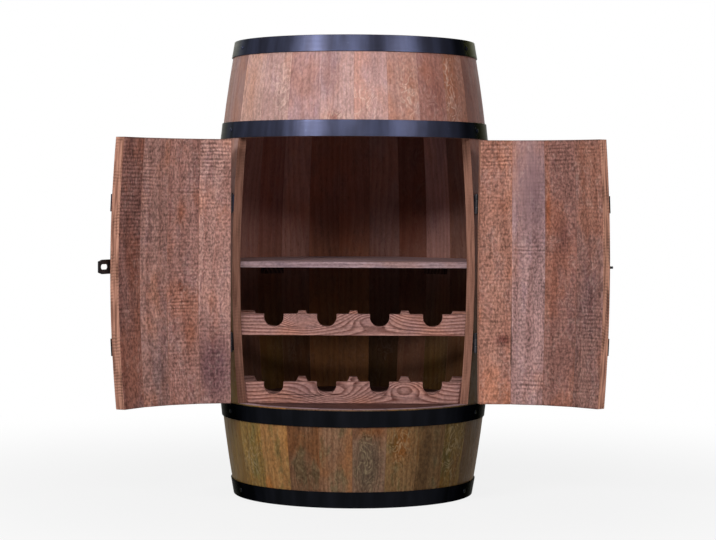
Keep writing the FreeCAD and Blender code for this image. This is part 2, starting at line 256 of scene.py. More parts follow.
patterns = {
    # repeats in a metre across, into and along a board; how much of the board's own offset each takes;
    # detail, roughness and distortion; and the stretch that counts, if not all
    "wobble": ((14, 14, 1), (1, 0, 1.9), (2.5,), ()),
    "fine": ((90, 90, 26), (0, 1, 0), (2,), ()),
    "streak": ((230, 230, 21), (1, 0, 0), (4, 0.6), (0.26, 0.74)),
    "fibre": ((620, 620, 24), (1, 0, 0), (2, 0.65), ()),
    "mottle": ((270, 270, 190), (0, 1, 0), (4,), (0.3, 0.7)),
    "fleck": ((420, 420, 85), (0, 1, 0), (2,), (0.55, 0.68)),
    "blotch": ((15, 15, 8), (1, 0, 1), (3,), ()),
    "patch": ((34, 34, 15), (0, 1, 0), (3, 0.65), ()),
    "curl": ((52, 52, 40), (1, 0, 0), (1.2, 0.5, 1.1), ()),
    "sawDrift": ((12, 0, 40), (1, 1, 0), (2,), ()),
    "sawGaps": ((55, 0, 150), (0, 1, 0), (2,), (0.3, 0.5)),
    "sawSpread": ((9, 0, 12), (1, 0, 2.3), (2,), (0.4, 0.65, 0.14, 0.5)),
    "edgeGrain": ((260, 0, 16), (0, 1, 0), (3,), ()),
    "edgeGaps": ((70, 0, 19), (0, 1, 0), (2,), (0.42, 0.6)),
    "pores": ((900, 900, 900), (0, 0, 0), (2,), ()),
}
grain = {
    "boardShift": 3.17,  # of the patterns from one board to the next
    "drawShift": 1.37,  # the same for its random numbers
    "heartSpread": 1.3,  # sideways, in widths of a board
    "heartNearest": 0.6,  # of the heart's depth
    "fineSway": 0.0022,
    "lateRise": (0.2, 0.82),  # where late wood sets in, as a part of a ring
    "lateFall": (0.86, 1.0),
    "lateLeast": 0.35,  # of a ring between two streaks
    "smoothing": 0.8,  # of the rings in a smooth place
    "curls": 5.0,  # lines of the figure in one swing of its noise
    "curlEdge": 2.5,
    "curlLimit": 1.3,
    "curlBreaks": 0.4,  # how far streaks break the figure up
    "plainFlecks": 0.4,  # of the flecks between the rings
    "boldPatches": (0.42, 0.6),
    "warmPatches": (0.48, 0.64),
    "greyPatches": (0.5, 0.66),
    "mottleSway": 30,  # the wobble of the grain over that of the mottling
    "sawSway": 10.0,
    "sawSlant": 9,
    "sawEdge": 1.3,
    "sawLevel": 0.4,  # of the lines' light, over which they darken
    "rises": (0.4, 0.4, -0.25, -0.7, -1.2),  # of streaks, fibres, rings, flecks and saw lines
    "sheen": (0.25, 0.1),  # of streaks and flecks on the roughness
    "endDarkReach": 0.0026,
    "tickSway": (6.0, 40),  # with the edge's grain and with the board's
    "tickLevel": 0.3,
    "edgeStreaks": (0.86, 0.28),  # their base and their depth
    "edgePatches": (0.4, 0.66),
    "wornEdge": (0.0028, 0.0012),
    "wornShare": (0.55, 0.6),
    "crackWidth": (0.0016, 0.0008),
    "crackEnds": (0.004, 0.12),
    "crackDepth": 0.9,
    "seamLine": 0.0003,
    "poreLight": (0.5, 0.6),  # the end grain's base, and what the pores add
}


class Wood:
    # one kind of wood on a finish: what its patterns are, and how they colour each face
    def __init__(self, finish, board, look):
        self.finish = finish
        self.board = board
        self.look = look
        self.offset = board["number"] * grain["boardShift"] + look["seed"]
        draw = board["number"] * grain["drawShift"]
        self.lots = [finish.chance(draw + (look["seed"] + count)) for count in range(4)]
        self.wobble = self.pattern("wobble", along=board["along"] * look["wander"]) - 0.5
        self.streak, self.fibre, self.fleck, self.blotch, self.patch = (
            self.pattern(name) for name in ("streak", "fibre", "fleck", "blotch", "patch"))
        self.seam = board["width"] / 2 - board["across"].reckon("ABSOLUTE")

    def pattern(self, name, **places):
        # a noise that follows the grain and differs from board to board
        rates, shifts, noise, counted = patterns[name]
        own = {**self.board, **places}
        spots = []
        for axis, rate, shift in zip(("across", "into", "along"), rates, shifts):
            spot = own[axis] * rate
            spots.append(spot + self.offset * shift if shift else spot)
        wire = self.finish.noise(self.finish.vector(*spots), *noise)
        return self.finish.step(wire, *counted) if counted else wire

    def bell(self, sideways, height, wide, tall):
        # 1 at one place, falling off round it: degrees and height on a stave, length and height on a board
        board = self.board
        onStave = "azimuth" in board
        if onStave:
            aside = (board["azimuth"] - math.radians(sideways)) * (barrel["bilgeRadius"] / wide)
            above = (board["along"] - height) / tall
        else:
            aside = (board["along"] - sideways) / wide
            above = (board["high"] - height) / tall
        share = (-(aside * aside + above * above)).reckon("EXPONENT")
        if not onStave:
            return share
        own = math.floor(sideways / barrel["staveAngle"])
        return share * board["number"].reckon("COMPARE", own, 0.5)

    def lateWood(self):
        # rings of a tree whose heart lies behind the board, lifted by the knots
        board, look, finish = self.board, self.look, self.finish
        heartAcross = board["across"] - (self.lots[0] - 0.5) * board["width"] * grain["heartSpread"]
        heartInto = board["into"] + look["heart"] * (self.lots[1] + grain["heartNearest"])
        rings = (heartAcross * heartAcross + heartInto * heartInto) ** 0.5
        rings = rings + self.wobble * look["sway"] + (self.pattern("fine") - 0.5) * grain["fineSway"]
        rings = rings + board["along"] * (self.lots[2] - 0.5) * look["taper"]
        for *place, lift in look["knots"]:
            rings = rings + self.bell(*place) * lift
        part = (rings / look["ringWidth"]).reckon("FRACT")
        late = finish.step(part, *grain["lateRise"]) * finish.step(part, *grain["lateFall"], 1.0, 0.0)
        for place in look["smoothPlaces"]:
            late = late * (1.0 - self.bell(*place) * grain["smoothing"])
        return late

    def figure(self):
        # pale curling lines, bold in the named places
        curl = (self.pattern("curl") * grain["curls"]).reckon("PINGPONG", 0.5) * 2.0
        bold = self.finish.step(self.patch, *grain["boldPatches"]) * self.look["figureSpread"]
        for place in self.look["figures"]:
            bold = bold + self.bell(*place)
        bold = bold.reckon("MINIMUM", grain["curlLimit"])
        broken = 1.0 - grain["curlBreaks"] + self.streak * grain["curlBreaks"]
        return curl ** grain["curlEdge"] * bold * broken

    def lightness(self, late):
        look = self.look
        rough = self.finish.step(self.board["into"], *inner, look["outerRoughness"], 1.0)
        for place in look["smoothPlaces"]:
            rough = rough - self.bell(*place)
        mottle = self.pattern("mottle", across=self.board["across"] + self.wobble / grain["mottleSway"])
        light = 1.0 + (self.streak - 0.5) * look["streakDepth"] + (mottle - 0.5) * rough * look["mottleDepth"]
        light = light + (self.fibre - 0.5) * look["fibreDepth"] + (self.blotch - 0.5) * look["blotchDepth"]
        light = light + (self.patch - 0.5) * look["cloudDepth"] + (self.lots[3] - 0.5) * look["lotDepth"]
        share = grain["plainFlecks"] + late * (1.0 - grain["plainFlecks"])
        return light * (1.0 - self.fleck * share * look["fleckDepth"])

    def sawLines(self):
        # lines across the rough inner faces, and where they show: bold in the named places, else faint
        across, into, along = (self.board[axis] for axis in ("across", "into", "along"))
        drift = self.pattern("sawDrift") * grain["sawSway"]
        lines = (along * (2 * math.pi / self.look["sawPitch"]) + drift + across * grain["sawSlant"]).wave()
        where = self.pattern("sawSpread")
        for place in self.look["sawPlaces"]:
            where = where + self.bell(*place)
        where = where.reckon("MINIMUM", 1.0) * self.finish.step(into, *sawn)
        return lines, where * self.pattern("sawGaps")

    def darkerEnds(self):
        # how light a stave is near its two ends, where it is darker
        low, high = self.look["ends"]
        along, reach, dark = self.board["along"], grain["endDarkReach"], self.look["endShade"]
        clean = self.finish.step(along, low, low + reach) * self.finish.step(along, high, high - reach)
        return dark + clean * (1.0 - dark)

    def sideFaces(self, colour):
        # the sawn sides of staves, ticked across, with the worn arrises and open seams beside them
        board, look, finish = self.board, self.look, self.finish
        turned = {"across": board["into"], "into": board["across"]}
        own = self.pattern("edgeGrain", **turned)
        ownSway, boardSway = grain["tickSway"]
        ticks = board["along"] * (2 * math.pi / look["tickPitch"])
        ticks = (ticks + own * ownSway + self.wobble * boardSway).wave() * self.pattern("edgeGaps", **turned)
        edge = finish.blend(look["edgeTone"], look["edgeDark"], finish.step(own, *grain["edgePatches"]))
        base, depth = grain["edgeStreaks"]
        edge = finish.dim(edge, base + self.streak * depth + (grain["tickLevel"] - ticks) * look["tickDepth"])
        worn = finish.step(board["width"] / 2 - board["across"], *grain["wornEdge"])
        worn = worn * finish.step(self.lots[3], *grain["wornShare"])
        colour = finish.dim(colour, 1.0 + worn * look["seamWear"])
        opens, closes = grain["crackEnds"]
        for turn, low, high in look["cracks"]:
            off = ((board["azimuth"] - math.radians(turn)) * barrel["bilgeRadius"]).reckon("ABSOLUTE")
            split = finish.step(off, *grain["crackWidth"]) * finish.step(board["along"], low, low + opens)
            split = split * finish.step(board["along"], high, high - closes)
            colour = finish.dim(colour, 1.0 - split * grain["crackDepth"])
        return finish.blend(colour, edge, board["sideFace"])

    def endGrain(self):
        # drier than the faces, with the pores showing as dots and a dark line between two boards
        look = self.look
        joint = self.finish.step(self.seam, grain["seamLine"], look["endSeamWidth"], look["endSeam"], 1.0)
        base, depth = grain["poreLight"]
        light = base + self.pattern("pores") * depth + self.lots[3] * look["endLots"]
        return self.finish.dim(look["endTone"], light * joint)

    def grow(self):
        board, look, finish = self.board, self.look, self.finish
        late = self.lateWood()
        colour = look["tone"](finish, board)
        warm = finish.step(self.blotch, *grain["warmPatches"])
        grey = finish.step(self.patch, *grain["greyPatches"])
        colour = finish.stain(colour, look["warmTint"], warm * look["patchDepth"])
        colour = finish.stain(colour, look["greyTint"], grey * look["patchDepth"])
        for *place, tint, share in look["stains"]:
            colour = finish.stain(colour, tint, self.bell(*place) * share)
        broken = grain["lateLeast"] + self.streak * (1.0 - grain["lateLeast"])
        colour = finish.stain(colour, look["lateTint"], late * broken * look["ringDepth"])
        colour = finish.blend(colour, look["figureTone"], self.figure() * look["figureDepth"])
        light = self.lightness(late)
        *rises, sawRise = grain["rises"]
        height = sum(wire * rise for wire, rise in zip((self.streak, self.fibre, late, self.fleck), rises))
        if look["sawDepth"]:
            lines, where = self.sawLines()
            lit = grain["sawLevel"] - lines ** grain["sawEdge"]
            light = light * (1.0 + where * lit * look["sawDepth"])
            height = height + where * lines * sawRise
        if look["ends"]:
            light = light * self.darkerEnds()
        colour = finish.dim(colour, light)
        joint = finish.step(self.seam, grain["seamLine"], look["seamWidth"], look["seamShade"], 1.0)
        colour = finish.dim(colour, joint)
        if board["sideFace"] is not None:
            colour = self.sideFaces(colour)
        colour = finish.blend(colour, self.endGrain(), board["endFace"])
        finish.give("Base Color", colour)
        streaky, flecky = grain["sheen"]
        finish.give("Roughness", look["roughness"] + (self.streak - 0.5) * streaky + self.fleck * flecky)
        finish.bump(height, look["bumpDistance"], look["bumpStrength"])
        return finish.material


oakLook = {
    "seed": 3.0,
    "wander": 5.0,  # how fast the grain wanders along a board
    "sway": 0.012,  # how far it wanders, metres
    "heart": 0.05,  # how deep the heart of the tree lies behind the face
    "taper": 0.06,
    "ringWidth": 0.0062,
    "ringDepth": 0.5,
    "lateTint": shade(206, 182, 174),
    "warmTint": shade(255, 232, 208),
    "greyTint": shade(218, 220, 232),
    "patchDepth": 0.6,
    "streakDepth": 0.22,
    "mottleDepth": 0.14,
    "fibreDepth": 0.2,
    "blotchDepth": 0.5,
    "fleckDepth": 0.25,
    "knots": (),  # sideways, height, half width, half height, lift of the rings
    "stains": (),  # sideways, height, half width, half height, tint, share
    "cracks": (),  # degrees of an open seam, and its two ends
    "figures": (),  # sideways, height, half width, half height of bold figure
    "smoothPlaces": (),  # the same, for planed places with hardly any mottling
    "figureSpread": 0.35,  # of the figure outside the bold places
    "figureDepth": 0.12,
    "figureTone": shade(232, 200, 184),
    "cloudDepth": 0.2,
    "lotDepth": 0.0,  # how much one board differs from the next
    "outerRoughness": 1.0,  # of the mottling on a stave's outside, against its inside
    "sawDepth": 0.0,  # of the saw lines, where there are any
    "ends": None,  # heights of a stave's two ends, near which it is darker
    "endShade": 0.6,
    "edgeTone": shade(154, 110, 93),
    "edgeDark": shade(122, 84, 70),
    "tickPitch": 0.0052,
    "tickDepth": 0.16,
    "endTone": shade(120, 92, 80),
    "endLots": 0.4,  # how much the end of one board differs from the next
    "endSeam": 0.25,
    "endSeamWidth": 0.0018,
    "seamWidth": 0.0008,
    "seamShade": 0.72,
    "seamWear": 0.16,
    "roughness": 0.58,
    "bumpDistance": 0.0005,
    "bumpStrength": 0.5,
}

# tones by stave, counted from the seam at the front centre
upperTones = {
    -11: (196, 152, 140), -6: (150, 118, 108), -5: (161, 126, 118), -4: (203, 165, 155),
    -3: (190, 152, 145), -2: (179, 142, 141), -1: (196, 158, 152), 0: (192, 152, 147),
    1: (184, 140, 130), 2: (170, 122, 112), 3: (158, 110, 94), 4: (124, 84, 74), 5: (116, 82, 74),
    12: (150, 104, 90),
}
lowerTones = {
    -6: (107, 87, 49), -5: (113, 89, 47), -4: (133, 104, 56), -3: (158, 115, 70),
    -2: (110, 79, 58), -1: (131, 97, 74), 0: (128, 97, 78), 1: (127, 96, 64),
    2: (101, 76, 50), 3: (98, 75, 36), 4: (71, 50, 20), 5: (87, 66, 33),
}
leftDoorTones = {-4: (175, 132, 122), -3: (159, 116, 107), -2: (171, 128, 118), -1: (147, 104, 96)}
rightDoorTones = {0: (149, 110, 101), 1: (147, 105, 96), 2: (171, 134, 130), 3: (172, 123, 107)}
ashTint = shade(214, 214, 226)
umberTint = shade(196, 160, 146)
amberTint = shade(255, 218, 178)
# painted shade for the inner faces of the staves inside the cabinet
insideShadeTint = shade(224, 206, 204)


def byStave(tones):
    # a tone for each stave; staves that aren't named repeat the named ones round the barrel
    named = sorted(tones)
    reach = barrel["staveCount"] // 2
    whole = {count: tones.get(count, tones[named[(count * 5 + 3) % len(named)]])
             for count in range(-reach, reach + 1)}
    stops = [((count + reach) / barrel["staveCount"], shade(*whole[count])) for count in sorted(whole)]

    def tone(finish, board):
        middle = (board["number"] + reach + 0.5) / barrel["staveCount"]
        return finish.add("ValToRGB", [middle], stops=stops)
    return tone


def sideTone(finish, board):
    # whole staves: warm above, olive and darker towards the floor
    above = byStave(upperTones)(finish, board)
    below = byStave(lowerTones)(finish, board)
    return finish.blend(below, above, finish.step(board["along"], 0.2, 0.55))


def insideShadedTone(finish, board):
    # whole staves, their inner faces darkened inside the cabinet as painted shade
    return finish.stain(sideTone(finish, board), insideShadeTint, finish.step(board["into"], *inner))


def doorTone(tones):
    # outside like the barrel, and the fresh rough faces inside
    def tone(finish, board):
        return finish.blend(sideTone(finish, board), byStave(tones)(finish, board),
                            finish.step(board["into"], *inner))
    return tone


dryShine = {"Specular IOR Level": 0.08}


def oak(name, tone, door=None, **changes):
    finish = Finish(name, **dryShine)
    return Wood(finish, staveFrame(finish, door), {**oakLook, "tone": tone, **changes}).grow()


def plank(name, tone, axes, spacing, shift=0.0, **changes):
    finish = Finish(name, **dryShine)
    look = {**oakLook, "tone": lambda finish, board: tone, "endTone": tone, **changes}
    return Wood(finish, boardFrame(finish, axes, spacing, shift), look).grow()


rolled = {
    "streaks": (5, 260),  # repeats in a radian round the hoop and in a metre up it
    "clouds": (9, 6),
    "scuffs": 240,
    "scuffed": (0.62, 0.75),
    "scuffedClouds": (0.4, 0.65),
    "lightClouds": (0.3, 0.75),
    "shadeDrift": 0.2,
    "sheen": 0.14,
    "bump": (0.0002, 0.2),
    "litSide": -0.35,  # radians from the front
    "turns": (0.3, 0.45),  # heights between which one look gives way to the other
    "rubbing": 0.35,
}


def hoopSteel(name, look, below=None):
    # blackened rolled steel: faint streaks round the hoop, rubbed and scuffed here and there, with painted
    # shade darkening it away from the lit side; pieces at several heights turn towards the floor to the look
    # below, the darker copy that is painted shade
    finish = Finish(name, **{"Metallic": 1.0, "Specular Tint": look["edgeTint"]})
    place = finish.add("TexCoord", out="Object")
    x, y, z = finish.parts(place)
    azimuth = x.reckon("ARCTAN2", -y)
    along, up = rolled["streaks"]
    streak = finish.noise(finish.vector(azimuth * along, z * up, 0.0), detail=3, roughness=0.6)
    along, up = rolled["clouds"]
    cloud = finish.noise(finish.vector(azimuth * along, z * up, 4.0), detail=3)
    scuff = finish.noise(place, scale=rolled["scuffs"], detail=4, roughness=0.7)
    scuff = finish.step(scuff, *rolled["scuffed"]) * finish.step(cloud, *rolled["scuffedClouds"])
    colour = finish.blend(look["dark"], look["light"], finish.step(cloud, *rolled["lightClouds"]))
    # painted shade: away from the lit side, between the angles in the look's sides, the hoop's colour is
    # darkened as if the light fell off there
    aside = (azimuth - rolled["litSide"]).reckon("ABSOLUTE") + (cloud - 0.5) * rolled["shadeDrift"]
    colour = finish.stain(colour, look["sideShadeTint"], finish.step(aside, *look["sides"]))
    # painted shade: below the heights in turns, these pieces take the darker copy of the steel towards the
    # floor
    if below:
        colour = finish.blend(below["light"], colour, finish.step(z, *rolled["turns"]))
    colour = finish.blend(colour, look["rubbed"], scuff * rolled["rubbing"])
    finish.give("Base Color", colour)
    finish.give("Roughness", look["roughness"] + (streak + cloud - 1.0) * rolled["sheen"])
    finish.bump(streak * 0.6 + scuff, *rolled["bump"])
    return finish.material


dulled = {
    "clouds": 90,  # repeats in a metre
    "specks": 900,
    "lightClouds": (0.35, 0.7),
    "bareClouds": (0.45, 0.75),
    "bareMetal": 0.2,  # what they add
    "sheen": 0.3,
    "speckRise": 0.4,
    "bump": (0.0002, 0.4),
}


def dullSteel(name, dark, light, metal, roughness):
    # oiled steel with a worn, cloudy skin
    finish = Finish(name, **{"Specular IOR Level": 0.4})
    place = finish.add("TexCoord", out="Object")
    cloud = finish.noise(place, scale=dulled["clouds"], detail=4, roughness=0.65)
    speck = finish.noise(place, scale=dulled["specks"])
    finish.give("Base Color", finish.blend(dark, light, finish.step(cloud, *dulled["lightClouds"])))
    finish.give("Metallic", metal + finish.step(cloud, *dulled["bareClouds"]) * dulled["bareMetal"])
    finish.give("Roughness", roughness + (cloud - 0.5) * dulled["sheen"])
    finish.bump(cloud + speck * dulled["speckRise"], *dulled["bump"])
    return finish.material


def newPiece(name, data):
    piece = bpy.data.objects.new(name, data)
    bpy.context.scene.collection.objects.link(piece)
    return piece


def piecesApart(name, roundAxis):
    # merges the corners of each stave or board by itself, with its neighbours drawn away meanwhile
    plan = Group(name, {"Pieces": "Geometry", "Pitch": "Float", "Shift": "Float", "Merge Distance": "Float"})
    # measured a little under each face, so that a touching side counts with its own piece
    inwards = (-0.001, -0.001, -0.001)
    facing, place = plan.add("InputNormal"), plan.add("InputPosition")
    under = plan.add("ShaderNodeVectorMath", [facing, inwards, place], operation="MULTIPLY_ADD")
    x, y, z = plan.parts(under)
    lay = x.reckon("ARCTAN2", -y) if roundAxis else x
    number = (lay / plan.asked("Pitch") + plan.asked("Shift")).reckon("FLOOR")
    number = plan.add("FieldOnDomain", {"Value": number}, data_type="FLOAT", domain="FACE")
    pieces = {"Geometry": plan.asked("Pieces"), "Name": "board", "Value": number}
    pieces = plan.add("StoreNamedAttribute", pieces, data_type="FLOAT", domain="POINT")
    board = plan.add("InputNamedAttribute", {"Name": "board"}, data_type="FLOAT")
    for way in (0.5, -0.5):
        offset = plan.vector(0.0, 0.0, board * way)
        pieces = plan.add("SetPosition", {"Geometry": pieces, "Offset": offset})
        if way > 0:
            reach = plan.asked("Merge Distance")
            pieces = plan.add("MergeByDistance", {"Geometry": pieces, "Distance": reach})
    plan.yields("Pieces", plan.add("RemoveAttribute", {"Geometry": pieces, "Name": "board"}))
    return plan


apart = {
    # the grouped pieces that touch: how far one is from the next, and where the count starts
    "front_staves": (piecesApart("staves apart", True), math.radians(barrel["staveAngle"]), 0.0),
    "head": (piecesApart("boards apart", False), barrel["headBoard"], 0.5),
}
weldDistance = 0.00001  # between corners that are one, metres
easedFrom = 35  # degrees between two faces from which their edge is eased
smoothTo = 50  # degrees up to which a head is shaded smooth


def addGroup(piece, name, group, values):
    # a Geometry Nodes modifier with its values, by the labels of the group's inputs
    modifier = piece.modifiers.new(name, "NODES")
    modifier.node_group = group.tree
    for label, value in values.items():
        modifier[group.keys[label]] = value


def bevelEdges(piece, width):
    bevel = piece.modifiers.new("ease", "BEVEL")
    bevel.width = width
    bevel.segments = 2
    bevel.limit_method = "ANGLE"
    bevel.angle_limit = math.radians(easedFrom)


def easeEdges(name, width):
    # takes the sharpness off a piece's edges without changing its size
    piece = nodes[name]
    grouped = next((apart[end] for end in apart if name.endswith(end)), None)
    if grouped:
        group, pitch, shift = grouped
        addGroup(piece, "weld", group, {"Pitch": pitch, "Shift": shift, "Merge Distance": weldDistance})
    else:
        piece.modifiers.new("weld", "WELD").merge_threshold = weldDistance
    bevelEdges(piece, width)
    piece.modifiers.new("normals", "WEIGHTED_NORMAL").keep_sharp = False


bodyOak = oak("barrel oak", insideShadedTone)
upperOak = oak(
    "upper stave oak", byStave(upperTones),
    knots=((-8, 0.655, 0.012, 0.014, 0.022), (35, 0.672, 0.013, 0.03, 0.02),
           (8, 0.74, 0.01, 0.05, 0.01)),
    stains=((-11, 0.74, 0.018, 0.042, ashTint, 1.6), (-8, 0.662, 0.014, 0.012, umberTint, 0.8),
            (38, 0.7, 0.03, 0.06, umberTint, 0.5), (47, 0.71, 0.02, 0.06, amberTint, 0.35),
            (-52, 0.71, 0.02, 0.08, amberTint, 0.4), (24, 0.72, 0.018, 0.05, amberTint, 0.5)),
    figures=((46.5, 0.72, 0.014, 0.07), (-8, 0.66, 0.03, 0.012), (4, 0.68, 0.03, 0.03),
             (-32, 0.7, 0.02, 0.07), (24, 0.7, 0.02, 0.04)),
    mottleDepth=0.36, streakDepth=0.14, fibreDepth=0.12, ringDepth=0.36, figureDepth=0.62, figureSpread=0.3,
    cloudDepth=0.9, seamShade=0.9, seamWear=0.08)
lowerOak = oak(
    "lower stave oak", byStave(lowerTones), seed=8, lateTint=shade(176, 158, 146), ringDepth=0.6,
    patchDepth=1.1, streakDepth=0.3, mottleDepth=0.46, figureDepth=0.5, cloudDepth=1.1,
    seamShade=0.86, warmTint=shade(255, 234, 206), figureTone=shade(170, 150, 116),
    figures=((6.5, 0.08, 0.022, 0.045), (21, 0.11, 0.02, 0.03), (50, 0.1, 0.03, 0.05),
             (-50, 0.08, 0.05, 0.03)),
    endTone=shade(160, 134, 138), greyTint=shade(196, 213, 206),
    knots=((6.5, 0.07, 0.02, 0.065, 0.04), (21, 0.115, 0.01, 0.022, 0.03),
           (-24, 0.05, 0.014, 0.04, 0.02)),
    stains=((6.5, 0.075, 0.022, 0.05, shade(196, 210, 214), 1.5), (21, 0.11, 0.02, 0.03, amberTint, 1.3),
            (7, 0.132, 0.03, 0.012, amberTint, 1)))
doorLook = {"sawPitch": 0.0064, "sawDepth": 0.6, "roughness": 0.68, "bumpStrength": 0.9, "ringWidth": 0.011,
            "lateTint": shade(190, 162, 154), "patchDepth": 0.7, "mottleDepth": 0.8, "streakDepth": 0.3,
            "fleckDepth": 0.34, "cloudDepth": 0.7, "seamShade": 0.78, "blotchDepth": 0.6, "figureDepth": 0.3,
            "figureSpread": 0.6, "tickDepth": 0.5, "outerRoughness": 0.45, "ends": (0.174, 0.626)}
leftOak = oak(
    "left door oak", doorTone(leftDoorTones), "left_door", seed=12, edgeTone=shade(174, 126, 107),
    knots=((-35, 0.375, 0.006, 0.012, 0.02), (-34, 0.215, 0.012, 0.05, 0.03)),
    stains=((-35, 0.375, 0.004, 0.008, umberTint, 1.6),
            (-50, 0.235, 0.04, 0.07, shade(172, 164, 180), 1.2),
            (-24, 0.22, 0.02, 0.07, shade(206, 214, 224), 1),
            (-35, 0.5, 0.01, 0.02, amberTint, 0.6), (-39, 0.29, 0.012, 0.03, amberTint, 0.5)),
    sawPlaces=((-7.2, 0.535, 0.05, 0.085), (-36, 0.345, 0.026, 0.02), (-50, 0.597, 0.04, 0.03),
               (-17, 0.55, 0.012, 0.06), (-38, 0.535, 0.03, 0.008)), **doorLook)
rightOak = oak(
    "right door oak", doorTone(rightDoorTones), "right_door", seed=17, cracks=((43.2, 0.24, 0.37),),
    # painted light: the right door's edges take a lighter tone than the left's, standing in for lamp light
    # they don't get
    smoothPlaces=((36, 0.56, 0.04, 0.09),), edgeTone=shade(196, 142, 120),
    stains=((47, 0.284, 0.015, 0.009, shade(186, 160, 166), 1.1), (27.5, 0.52, 0.005, 0.07, amberTint, 0.9),
            (20, 0.46, 0.014, 0.03, ashTint, 1), (8, 0.36, 0.02, 0.07, ashTint, 1),
            (33, 0.53, 0.035, 0.1, ashTint, 1)),
    sawPlaces=((22, 0.6, 0.03, 0.022), (7, 0.61, 0.03, 0.01), (50, 0.6, 0.03, 0.02),
               (6, 0.31, 0.022, 0.045), (34, 0.21, 0.03, 0.014), (35, 0.44, 0.03, 0.01)), **doorLook)
insideLook = {"lateTint": shade(124, 88, 80), "ringDepth": 1, "ringWidth": 0.0056, "sway": 0.018,
              "wander": 7, "heart": 0.02, "streakDepth": 0.5, "mottleDepth": 0.36, "figureDepth": 0.1,
              "seamShade": 1}
shelfLook = {**insideLook, "ringDepth": 0.4}
floorLook = {**insideLook, "ringDepth": 0.7}
shelfOak = plank("shelf oak", shade(160, 134, 137), "xyz", 0.12, 0.3, **shelfLook)
floorOak = plank("floor oak", shade(82, 56, 53), "xyz", 0.12, 0.6, seed=21, **floorLook)
railOak = plank("rail oak", shade(176, 132, 123), "xzy", 0.6, 0.35, seed=26,
                knots=((-0.085, 0.33, 0.034, 0.024, 0.05), (0.03, 0.318, 0.04, 0.018, -0.03),
                       (-0.03, 0.186, 0.05, 0.02, 0.03), (0.09, 0.2, 0.04, 0.02, -0.03)), **insideLook)
cleatOak = plank("cleat oak", shade(96, 70, 62), "xzy", 0.4, 0.2, seed=31, **insideLook)
headOak = plank("head oak", shade(158, 118, 100), "yxz", barrel["headBoard"], 0.5, seed=36, lotDepth=0.3,
                seamShade=0.4, seamWidth=0.0012, mottleDepth=0.3, cloudDepth=0.5, streakDepth=0.3)
# the same blackened steel in two copies: a lit one for the upper hoops, and a darker one, painted shade, for
# the hoops near the floor; the band steel turns from one to the other with height
litHoopLook = {"dark": shade(40, 41, 53), "light": shade(57, 60, 79), "rubbed": shade(98, 100, 114),
             "edgeTint": shade(176, 176, 166), "roughness": 0.33, "sides": (0.85, 1.35),
             "sideShadeTint": shade(136, 136, 136)}
shadedHoopLook = {"dark": shade(16, 17, 20), "light": shade(24, 25, 30), "rubbed": shade(48, 50, 56),
             "edgeTint": shade(150, 150, 144), "roughness": 0.4, "sides": (0.8, 1.35),
             "sideShadeTint": shade(230, 230, 230)}
litHoopSteel = hoopSteel("upper hoop steel", litHoopLook)
shadedHoopSteel = hoopSteel("lower hoop steel", shadedHoopLook)
bandSteel = hoopSteel("band steel", litHoopLook, shadedHoopLook)
leafSteel = dullSteel("hinge steel", shade(30, 29, 32), shade(62, 60, 64), 0.5, 0.42)
haspSteel = dullSteel("hasp steel", shade(14, 14, 16), shade(34, 34, 38), 0.35, 0.45)
pinSteel = dullSteel("pin steel", shade(110, 108, 108), shade(150, 148, 148), 0.8, 0.34)
screwSteel = dullSteel("screw steel", shade(30, 30, 32), shade(66, 66, 70), 0.6, 0.4)
print("finishes ready")

eases = {
    # by what a piece's name holds: its finish, and how far its edges are taken down
    "left_door_stave": (leftOak, 0.0006), "right_door_stave": (rightOak, 0.0006),
    "upper_front_staves": (upperOak, 0.0003), "lower_front_staves": (lowerOak, 0.0003),
    "stave_": (bodyOak, 0.0005), "head": (headOak, 0.0005), "rail": (railOak, 0.001),
    "cleats": (cleatOak, 0.0006), "shelf": (shelfOak, 0.0008), "floor_board": (floorOak, 0.0008),
    "top_end_hoop": (litHoopSteel, 0.0004), "upper": (litHoopSteel, 0.0004),
    "bottom_end_hoop": (shadedHoopSteel, 0.0004), "lower": (shadedHoopSteel, 0.0004),
    "bands": (bandSteel, 0.0004), "hinge_leaves": (leafSteel, 0.0003),
    "pin": (pinSteel, 0.0003), "hasp": (haspSteel, 0.0003),
}
for name in nodes:
    material, width = next(eases[part] for part in eases if part in name)
    for place in nodes[name].material_slots:
        place.material = material
    easeEdges(name, width)
print("edges eased and finishes given")

outside = 0.4  # from the axis, clear of the closed barrel


def onFace(piece, azimuth, height, door=None):
    # the point where a line towards the barrel's axis meets the outside of a piece, and its facing
    angle = math.radians(azimuth)
    out = Vector((math.sin(angle), -math.cos(angle), 0.0))
    start = out * outside + Vector((0.0, 0.0, height))
    inward = -out
    if door:
        pin, turn = doors[door]
        stance = Matrix.Rotation(math.radians(turn), 4, "Z")
        pivot = Vector((pin.x, pin.y, 0.0))
        start = stance @ (start - pivot) + pivot
        inward = stance @ inward
    found, point, facing = piece.ray_cast(start, inward)[:3]
    if not found:
        raise ValueError(f"nothing of {piece.name} at {azimuth} degrees")
    return point, facing


def pointsMesh(name, places):
    mesh = bpy.data.meshes.new(name)
    mesh.from_pydata([point for point, facing in places], [], [])
    facings = mesh.attributes.new("facing", "FLOAT_VECTOR", "POINT")
    facings.data.foreach_set("vector", [value for point, facing in places for value in facing])
    return newPiece(name, mesh)


cross = {"length": 1.15, "width": 0.24}  # of the drive of a screw, in radii of its head


